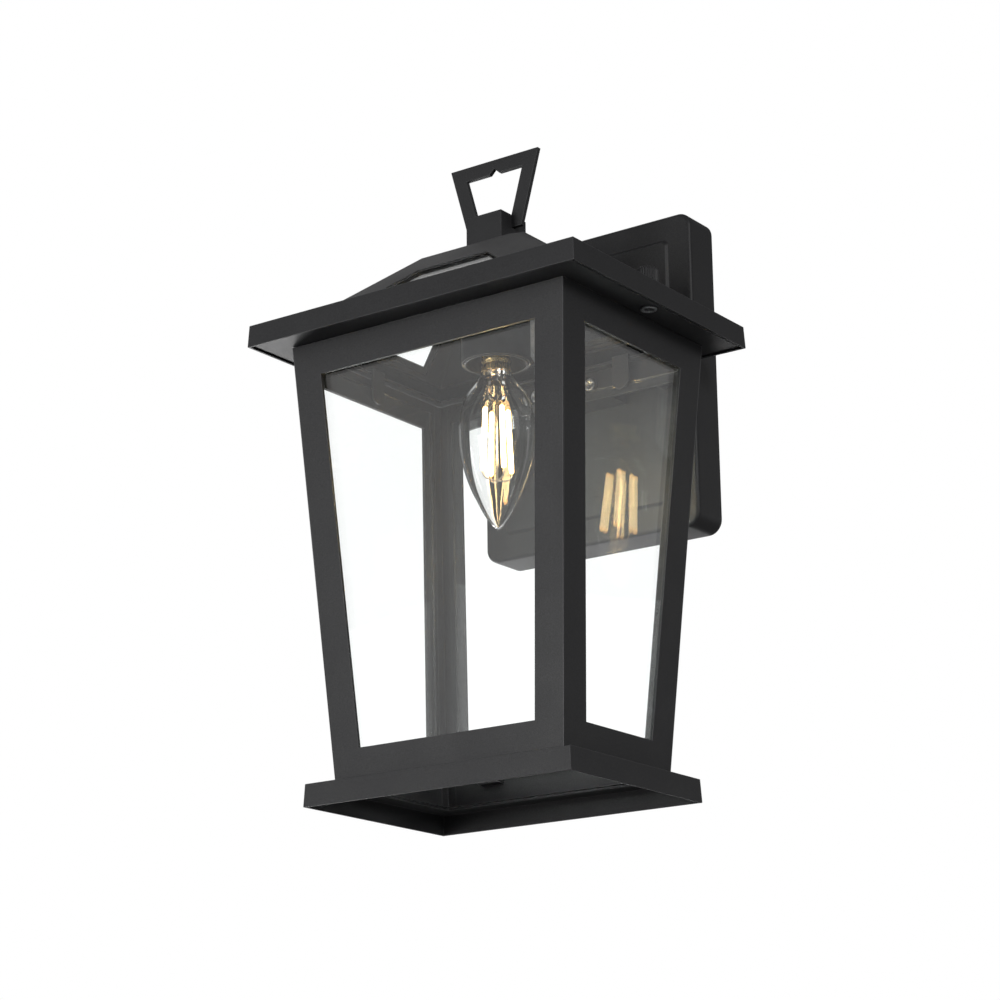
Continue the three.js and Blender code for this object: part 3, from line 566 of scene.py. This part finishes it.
def rounded_ring(half_x, half_z, radius, y, middle_z, steps=10):
    """The points of a rectangle with round corners, upright at the depth y."""
    points = []
    for sx, sz, start in ((1, 1, 0), (-1, 1, 90), (-1, -1, 180), (1, -1, 270)):
        for i in range(steps + 1):
            angle = math.radians(start + 90 * i / steps)
            points.append((
                sx * (half_x - radius) + radius * math.cos(angle), y,
                middle_z + sz * (half_z - radius) + radius * math.sin(angle),
            ))
    return points


def lofted(rings, name):
    """A skin through rings of equal length, with its first and last ring closed by a face."""
    shape = bmesh.new()
    made = [[shape.verts.new(p) for p in ring] for ring in rings]
    for low, high in zip(made, made[1:]):
        for i in range(len(low)):
            j = (i + 1) % len(low)
            shape.faces.new((low[i], low[j], high[j], high[i]))
    shape.faces.new(made[0])
    shape.faces.new(made[-1])
    return to_object(name, shape)


def wall_plate():
    """A deep-drawn sheet box, open to the wall, with a raised panel in its face."""
    low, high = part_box("wall_plate")
    half_x, half_z = (high.x - low.x) / 2, (high.z - low.z) / 2
    middle = (high.z + low.z) / 2
    face = low.y + PANEL_RISE
    rings = []

    def ring(inset, y, radius):
        corner = max(radius, SMALLEST_CORNER)
        rings.append(rounded_ring(half_x - inset, half_z - inset, corner, y, middle))

    def quarter(first_inset, first_y, last_inset, last_y, radius):
        """A quarter turn from the side wall, at first_y, to the face, at last_y."""
        for i in range(6):
            angle = math.radians(90 * i / 5)
            inset = first_inset + (last_inset - first_inset) * (1 - math.cos(angle))
            y = first_y + (last_y - first_y) * math.sin(angle)
            ring(inset, y, radius - inset)

    # from the hollow's floor out to the back rim, over it, and along the outside to the panel
    inside = PLATE_SHEET
    ring(inside + PLATE_EDGE, face + PLATE_SHEET, PLATE_CORNER - inside)
    for i in range(5, -1, -1):
        angle = math.radians(90 * i / 5)
        inset = inside + INNER_EDGE * (1 - math.cos(angle))
        depth = face + PLATE_SHEET + INNER_EDGE * (1 - math.sin(angle))
        ring(inset, depth, PLATE_CORNER - inset)
    ring(inside, high.y - RIM_INSIDE, PLATE_CORNER - inside)
    ring(inside - RIM_INSIDE, high.y, PLATE_CORNER - inside)
    ring(RIM_OUTSIDE, high.y, PLATE_CORNER)
    ring(0, high.y - RIM_OUTSIDE, PLATE_CORNER)
    quarter(0, face + PLATE_EDGE, PLATE_EDGE, face, PLATE_CORNER)
    for i in range(9):
        share = i / 8
        swell = share * share * (3 - 2 * share)
        inset = PANEL_INSET + PANEL_BEVEL * share
        corner = PANEL_CORNER - PANEL_BEVEL * share * 0.6
        y = face - PANEL_RISE * swell
        rings.append(rounded_ring(half_x - inset, half_z - inset, corner, y, middle))
    piece = lofted(rings, "wall_plate_fine")
    return stand_for(true_normals(piece), "wall_plate")


# ---------- threads and fasteners ----------
THREAD_FADE = 0.8  # pitches in which a thread fades out at its ends
THREAD_STEPS = 8  # rings in a pitch
THREAD_LEAST = 0.85  # share of the outer radius, below which there is no thread
THREAD_SIDES = 48


def threaded(node, pitch_mm, depth_mm, start, end, axis, about, easing_mm=0.2):
    """A turned node whose radius follows a helix between the heights start and end."""
    profile = profile_of(node, axis, about)
    profile = eased(profile, easing_mm, profile[0][0] > NEAR_AXIS)
    pitch, depth = pitch_mm * MM, depth_mm * MM
    fade = pitch * THREAD_FADE
    fine = []
    for (r0, h0), (r1, h1) in zip(profile, profile[1:]):
        steps = 1
        if min(r0, r1) > NEAR_AXIS:
            steps = max(1, round(abs(h1 - h0) / (pitch / THREAD_STEPS)))
        fine += [(r0 + (r1 - r0) * k / steps, h0 + (h1 - h0) * k / steps) for k in range(steps)]
    fine.append(profile[-1])
    outer = max(r for r, h in fine if start < h < end)

    def radius_at(radius, height, angle):
        inside = min(height - start, end - height) / fade
        if inside <= 0 or radius < outer * THREAD_LEAST:
            return radius
        wave = 0.5 - 0.5 * math.cos(2 * math.pi * height / pitch - angle)
        return radius - depth * wave * min(inside, 1)

    shape = turned_shape(fine, THREAD_SIDES, about, axis, radius_at)
    return stand_for(to_object(f"{node}_fine", shape), node)


def axis_point(node, axis):
    """The node's middle, on the plane where its axis starts."""
    low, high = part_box(node)
    about = (low + high) / 2
    setattr(about, axis.lower(), 0)
    return about


KNURLS = 26
KNURL_DEPTH = 0.42 * MM
THUMB_HEAD = 7.8 * MM  # height
THUMB_CHAMFER = 0.7 * MM
THUMB_DISH = 0.5 * MM  # depth
THUMB_COLLAR = 3.6 * MM  # radius
THUMB_STEP = 0.6 * MM  # height of the collar
THUMB_SHANK = 2.0 * MM  # radius
THUMB_PITCH = 0.8 * MM
THUMB_THREAD = 0.28 * MM  # depth


def thumb_screw(place):
    """Knurled head with a chamfered top and a shallow dish, a smooth collar and a threaded shank."""
    node = f"thumb_screw_{place}"
    low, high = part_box(node)
    about = axis_point(node, "Z")
    head, top = (high.x - low.x) / 2, high.z
    chamfer, shank = THUMB_CHAMFER, THUMB_SHANK
    foot = top - THUMB_HEAD
    dish = top - THUMB_DISH
    step = foot - THUMB_STEP
    profile = [
        (0, dish), (head - 2.0 * MM, dish), (head - 1.5 * MM, top), (head - chamfer, top),
        (head - 0.15 * MM, top - chamfer * 0.8), (head, top - chamfer),
    ]
    profile += [(head, top - chamfer + (foot + 2 * chamfer - top) * k / 6) for k in range(1, 7)]
    profile += [(head - chamfer, foot), (THUMB_COLLAR, foot), (THUMB_COLLAR, step), (shank, step)]
    rings = 40
    last = low.z + 0.4 * MM
    profile += [(shank, step + (last - step) * k / rings) for k in range(1, rings + 1)]
    profile += [(shank * 0.7, low.z), (0, low.z)]

    def radius_at(radius, height, angle):
        if radius > head - 0.2 * MM:
            return radius - KNURL_DEPTH * (0.5 - 0.5 * math.cos(KNURLS * angle)) ** 1.5
        if abs(radius - shank) < 0.01 * MM and height < step - 0.6 * MM:
            wave = 0.5 - 0.5 * math.cos(2 * math.pi * height / THUMB_PITCH - angle)
            return radius - THUMB_THREAD * wave
        return radius

    shape = turned_shape(profile, KNURLS * 8, about, "Z", radius_at)
    piece = to_object(f"{node}_fine", shape)
    return stand_for(piece, node)


NUT_HEXAGON = 3.4 * MM  # height
NUT_DOME = 3.5 * MM  # radius


def cap_nut(place):
    """Hexagon with chamfered corners, and a dome on it."""
    node = f"cap_nut_{place}"
    low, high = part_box(node)
    about = axis_point(node, "Y")
    across = (high.x - low.x) / 2
    face = high.y
    shoulder = face - NUT_HEXAGON
    dome = NUT_DOME

    def radius_at(radius, height, angle):
        if height < shoulder + 0.05 * MM and radius < dome + 0.2 * MM:
            return radius
        sixth = math.pi / 6
        from_flat = (angle + sixth) % (2 * sixth) - sixth
        flat = across * math.cos(sixth) / math.cos(from_flat)
        return min(radius, flat)

    profile = [(0, face), (across, face), (across, shoulder + 0.5 * MM), (dome + 0.4 * MM, shoulder)]
    steps = 10
    reach = shoulder - low.y
    for k in range(steps + 1):
        angle = math.radians(90 * k / steps)
        profile.append((dome * math.cos(angle) if k < steps else 0, shoulder - reach * math.sin(angle)))
    shape = turned_shape(profile, 96, about, "Y", radius_at)
    return stand_for(to_object(f"{node}_fine", shape), node)


def cross_recess(piece, face, inward, reach, depth):
    """Two tapered bars, one across the other, are cut into the middle of a screw's head."""
    axes = (Vector(v) for v in ((1, 0, 0), (0, 1, 0), (0, 0, 1)))
    sides = [v for v in axes if abs(v.dot(inward)) < 0.5]
    mouth = (-0.2 * depth, reach, 0.24 * reach)
    floor = (depth, 0.4 * reach, 0.14 * reach)
    for along, wide in (sides, sides[::-1]):
        bar = bmesh.new()
        for into, length, width in (mouth, floor):
            for a in (-1, 1):
                for b in (-1, 1):
                    bar.verts.new(face + inward * into + along * a * length + wide * b * width)
        bmesh.ops.convex_hull(bar, input=bar.verts)
        cutter = to_object("recess_bar", bar)
        cut = piece.modifiers.new("recess", "BOOLEAN")
        cut.operation = "DIFFERENCE"
        cut.solver = "EXACT"
        cut.object = cutter
        shown = piece.evaluated_get(bpy.context.evaluated_depsgraph_get())
        mesh = bpy.data.meshes.new_from_object(shown)
        piece.modifiers.clear()
        piece.data = mesh
        bpy.data.objects.remove(cutter)


# node: axis, whether the head is at the axis's low end, head height, pitch
SCREWS = {
    "arm_screw_left": ("Y", True, 2.1, 0.7), "arm_screw_right": ("Y", True, 2.1, 0.7),
    "strap_screw_front": ("Z", False, 2.2, 0.7), "strap_screw_back": ("Z", False, 2.2, 0.7),
    "finial_screw": ("Z", True, 2.8, 0.8), "ground_screw": ("Y", True, 2.2, 0.75),
}
SCREW_THREAD_DEPTH = 0.25
SCREW_EASING = 0.35
RECESS_REACH = 0.55  # share of the head's radius
RECESS_DEPTH = 0.55  # share of the head's height


def screw(node, axis, head_low, head_mm, pitch_mm):
    """Pan head with a cross recess, and a threaded shank."""
    low, high = (getattr(corner, axis.lower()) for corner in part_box(node))
    head = head_mm * MM
    shank = (low + head, high) if head_low else (low, high - head)
    about = axis_point(node, axis)
    piece = threaded(node, pitch_mm, SCREW_THREAD_DEPTH, *shank, axis, about, SCREW_EASING)
    up = Vector((0, 0, 1)) if axis == "Z" else Vector((0, 1, 0))
    face = about + up * (low if head_low else high)
    reach = RECESS_REACH * max(v.co.x - about.x for v in piece.data.vertices)
    cross_recess(piece, face, up if head_low else -up, reach, RECESS_DEPTH * head)


# ---------- lamp ----------
BULB_THREAD = (2.8, 0.1)  # pitch and depth in millimetres
NIPPLE_THREAD = (1.0, 0.35)
STUD_THREAD = (0.8, 0.3)
FILAMENTS = [f"filament_{i}" for i in range(1, 5)]
BULB_WALL = 0.7
SUPPORT_WIRE = 0.45
SUPPORT_ARM = 0.35
ARM_OVERLAP = 0.2  # how far an arm's end lies below the middle of a filament's end
ROD_END = 1.2  # height in which a filament's end is looked for, in millimetres
STEM_EASING = 2.0


def curve_through(points, steps=8):
    """A Catmull-Rom curve. An end on the axis meets its mirror image there, so it closes smoothly."""
    points = [Vector(p) for p in points]

    def beyond(end, next_one):
        return Vector((-next_one.x, next_one.y)) if end.x < NEAR_AXIS else 2 * end - next_one

    row = [beyond(points[0], points[1]), *points, beyond(points[-1], points[-2])]
    made = []
    for a, b, c, d in zip(row, row[1:], row[2:], row[3:]):
        for k in range(steps):
            t = k / steps
            square, cube = 2 * a - 5 * b + 4 * c - d, 3 * b - a - 3 * c + d
            p = 2 * b + (c - a) * t + square * t * t + cube * t ** 3
            made.append((max(p.x / 2, 0), p.y / 2))
    return [*made, tuple(points[-1])]


def ends_of(node):
    """The middles of the lower and the upper end of a rod."""
    points = [v.co.copy() for v in frame["nodes"][node].data.vertices]
    ends = []
    for end in (min(p.z for p in points), max(p.z for p in points)):
        near = [p for p in points if abs(p.z - end) < ROD_END * MM]
        ends.append(sum(near, Vector()) / len(near))
    return ends


def bulb_envelope():
    """Blown glass: a smooth curve through the node's outer points, and an even wall inside it."""
    profile = profile_of("bulb_envelope", "Z", BODY_AXIS)
    rim = max(range(len(profile)), key=lambda i: (round(profile[i][1], 6), -i))
    outer = [Vector(p) for p in curve_through(profile[:rim + 1])]
    before = [Vector((-outer[1].x, outer[1].y)), *outer]
    after = [*outer[1:], 2 * outer[-1] - outer[-2]]
    inner = []
    for behind, here, ahead in zip(before, outer, after):
        along = (ahead - behind).normalized()
        inner.append(here + Vector((-along.y, along.x)) * BULB_WALL * MM)
    skin = [(max(p.x, 0), p.y) for p in (*outer, *reversed(inner))]
    shape = turned_shape(skin, 128, BODY_AXIS)
    return stand_for(to_object("bulb_envelope_fine", shape), "bulb_envelope")


def filament(node):
    """A glowing rod with round ends, along the line that the node follows."""
    start, end = ends_of(node)
    length = (end - start).length
    points = [v.co for v in frame["nodes"][node].data.vertices]
    radius = max((p - start).cross(end - start).length / length for p in points)
    rings = 28
    profile = []
    for i in range(rings + 1):
        t = i / rings
        cap = min(t, 1 - t) * length / (1.4 * radius)
        profile.append((radius * math.sqrt(max(0.0, 1 - max(0.0, 1 - cap) ** 2)), t * length))
    shape = turned_shape(profile, 32)
    turn = Vector((0, 0, 1)).rotation_difference(end - start).to_matrix().to_4x4()
    bmesh.ops.transform(shape, matrix=Matrix.Translation(start) @ turn, verts=shape.verts)
    return stand_for(to_object(f"{node}_fine", shape), node)


def wire(shape, path, radius, side, sides=20):
    """A round wire with flat ends along a path whose bends all lie in the plane across side."""
    rings = []
    for i, point in enumerate(path):
        along = (path[min(i + 1, len(path) - 1)] - path[max(i - 1, 0)]).normalized()
        other = along.cross(side)
        ring = []
        for k in range(sides):
            turn = 2 * math.pi * k / sides
            spoke = side * math.cos(turn) + other * math.sin(turn)
            ring.append(shape.verts.new(point + spoke * radius))
        rings.append(ring)
    for low, high in zip(rings, rings[1:]):
        for i in range(sides):
            j = (i + 1) % sides
            shape.faces.new((low[i], low[j], high[j], high[i]))
    shape.faces.new(rings[0])
    shape.faces.new(rings[-1])


def bulb_support():
    """A wire down the middle, and from its foot a curved arm to the lower end of each filament."""
    low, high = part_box("bulb_support")
    top = Vector((BODY_AXIS.x, BODY_AXIS.y, high.z))
    foot = Vector((BODY_AXIS.x, BODY_AXIS.y, low.z + SUPPORT_ARM * MM))
    steps = 12
    shape = bmesh.new()
    wire(shape, [foot - Vector((0, 0, SUPPORT_ARM * MM)), top], SUPPORT_WIRE * MM, Vector((1, 0, 0)))
    for node in FILAMENTS:
        end = ends_of(node)[0] - Vector((0, 0, ARM_OVERLAP * MM))
        out = Vector((end.x - foot.x, end.y - foot.y, 0))
        bend = foot + out
        path = []
        for k in range(steps + 1):
            t = k / steps
            path.append(foot * (1 - t) ** 2 + bend * 2 * t * (1 - t) + end * t ** 2)
        wire(shape, path, SUPPORT_ARM * MM, out.normalized().cross(Vector((0, 0, 1))))
    return stand_for(to_object("bulb_support_fine", shape), "bulb_support")


def smooth_lead():
    """The lead made round: its facets are paired into four-sided ones and subdivided."""
    shape = copied("lamp_lead")
    bmesh.ops.join_triangles(
        shape, faces=shape.faces, angle_face_threshold=0.6, angle_shape_threshold=3.0,
    )
    piece = to_object("lamp_lead_fine", shape)
    smooth = piece.modifiers.new("smooth", "SUBSURF")
    smooth.levels = smooth.render_levels = 2
    return stand_for(piece, "lamp_lead")


# ---------- stage ----------
FLOOR_DROP = 2.0  # below the lantern, which hangs on a wall
FLOOR_REACH = 12


def pale_floor():
    shape = bmesh.new()
    bmesh.ops.create_grid(shape, x_segments=8, y_segments=8, size=FLOOR_REACH)
    floor = to_object("floor", shape)
    floor.location.z = cad_box[0].z - FLOOR_DROP
    look = Look("pale_floor", (0.86, 0.86, 0.86), 0.7)
    paint = look.noise(120, 2.0)
    look.use(Base_Color=look.blend(paint, (0.84, 0.84, 0.84), (0.88, 0.88, 0.88)))
    floor.data.materials.append(look.material)


def heading(azimuth, elevation):
    """A direction from the lantern: azimuth 0 is -Y and 90 is +X, elevation is above level, in degrees."""
    turn, rise = math.radians(azimuth), math.radians(elevation)
    return Vector((math.sin(turn) * math.cos(rise), -math.cos(turn) * math.cos(rise), math.sin(rise)))


# azimuth, elevation, distance, width, height, radiance
SOFTBOXES = {
    "front_softbox": (-14, -2, 1.3, 0.35, 0.5, 10),
    "front_fill": (-37, 3, 1.3, 0.6, 0.8, 0.75),
    "backdrop_glow": (-147, -9, 1.3, 0.5, 0.14, 4),
    "left_strip": (-53, -8, 1.3, 0.07, 0.6, 8),
    "low_back_softbox": (-122, -20, 1.3, 0.45, 0.5, 10),
    "high_back_softbox": (-118, 50, 1.3, 0.6, 0.6, 0.6),
    "right_back_softbox": (140, 5, 1.3, 0.6, 0.6, 0.4),
    "edge_light": (62, 16, 1.3, 0.2, 0.3, 24),
}
AMBIENT = 0.15
BACKDROP = 1.0  # the white behind the lantern
THROUGH_GLASS = 1.2  # the same white seen through a pane, which takes some of it away


def softbox(name, azimuth, elevation, distance, width, height, radiance):
    middle = (cad_box[0] + cad_box[1]) / 2
    light = bpy.data.lights.new(name, "AREA")
    light.shape = "RECTANGLE"
    light.size, light.size_y = width, height
    light.energy = radiance * math.pi * width * height
    made = bpy.data.objects.new(name, light)
    away = heading(azimuth, elevation)
    made.location = middle + away * distance
    made.rotation_mode = "QUATERNION"
    made.rotation_quaternion = (-away).to_track_quat("-Z", "Y")
    bpy.context.scene.collection.objects.link(made)


def studio():
    """Dim light from all round, softboxes, and a white backdrop, also where it shows through glass."""
    world = bpy.data.worlds.new("studio")
    world.use_nodes = True
    tree = world.node_tree
    background = tree.nodes["Background"]
    background.inputs["Color"].default_value = (1, 1, 1, 1)
    path = tree.nodes.new("ShaderNodeLightPath").outputs

    def math_node(operation, *values):
        node = tree.nodes.new("ShaderNodeMath")
        node.operation = operation
        for socket, value in zip(node.inputs, values):
            if isinstance(value, (int, float)):
                socket.default_value = value
            else:
                tree.links.new(value, socket)
        return node.outputs[0]

    bounces = math_node("ADD", path["Glossy Depth"], path["Diffuse Depth"])
    straight = math_node("LESS_THAN", bounces, 0.5)
    transmitted = math_node("MULTIPLY", path["Is Transmission Ray"], straight)
    through = math_node("MULTIPLY", transmitted, THROUGH_GLASS)
    looked_at = math_node("MAXIMUM", math_node("MULTIPLY", path["Is Camera Ray"], BACKDROP), through)
    brightness = math_node("MAXIMUM", looked_at, AMBIENT)
    tree.links.new(brightness, background.inputs["Strength"])
    bpy.context.scene.world = world
    for name, settings in SOFTBOXES.items():
        softbox(name, *settings)
    bpy.context.scene.view_settings.view_transform = "Standard"


# ---------- build ----------
make_camera()
body_shell()
wall_plate()
for node, width in SHEET_PIECES.items():
    softened(node, width)
for node in PANES:
    softened(node, PANE_EDGE, segments=2)
for node in CLIPS:
    softened(node, CLIP_EDGE, segments=2)

for node in ("barrel_nut_left", "barrel_nut_right"):
    respun(node, sides=64, easing_mm=0.3, about=axis_point(node, "Z"))
for node in ("holder_body", "holder_sleeve", "screw_shell"):
    respun(node, sides=96, easing_mm=0.25, about=BODY_AXIS)
respun("bulb_stem", sides=96, easing_mm=STEM_EASING, about=BODY_AXIS)
bulb_envelope()
cap_low, cap_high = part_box("bulb_cap")
threaded("bulb_cap", *BULB_THREAD, cap_low.z, cap_high.z, "Z", BODY_AXIS)
for node in FILAMENTS:
    filament(node)
bulb_support()
smooth_lead()
nipple_low, nipple_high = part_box("threaded_nipple")
threaded("threaded_nipple", *NIPPLE_THREAD, nipple_low.z, nipple_high.z, "Z", BODY_AXIS)
for node in ("plate_stud_left", "plate_stud_right"):
    stud_low, stud_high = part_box(node)
    threaded(node, *STUD_THREAD, stud_low.y, stud_high.y, "Y", axis_point(node, "Y"))
for node, settings in SCREWS.items():
    screw(node, *settings)
for place in ("left", "right"):
    thumb_screw(place)
    cap_nut(place)
for node, shown in frame["nodes"].items():
    if not shown.hide_render:
        shown.data.materials.clear()
        shown.data.materials.append(MATERIALS[SLOT_OF[node]])
pale_floor()
studio()
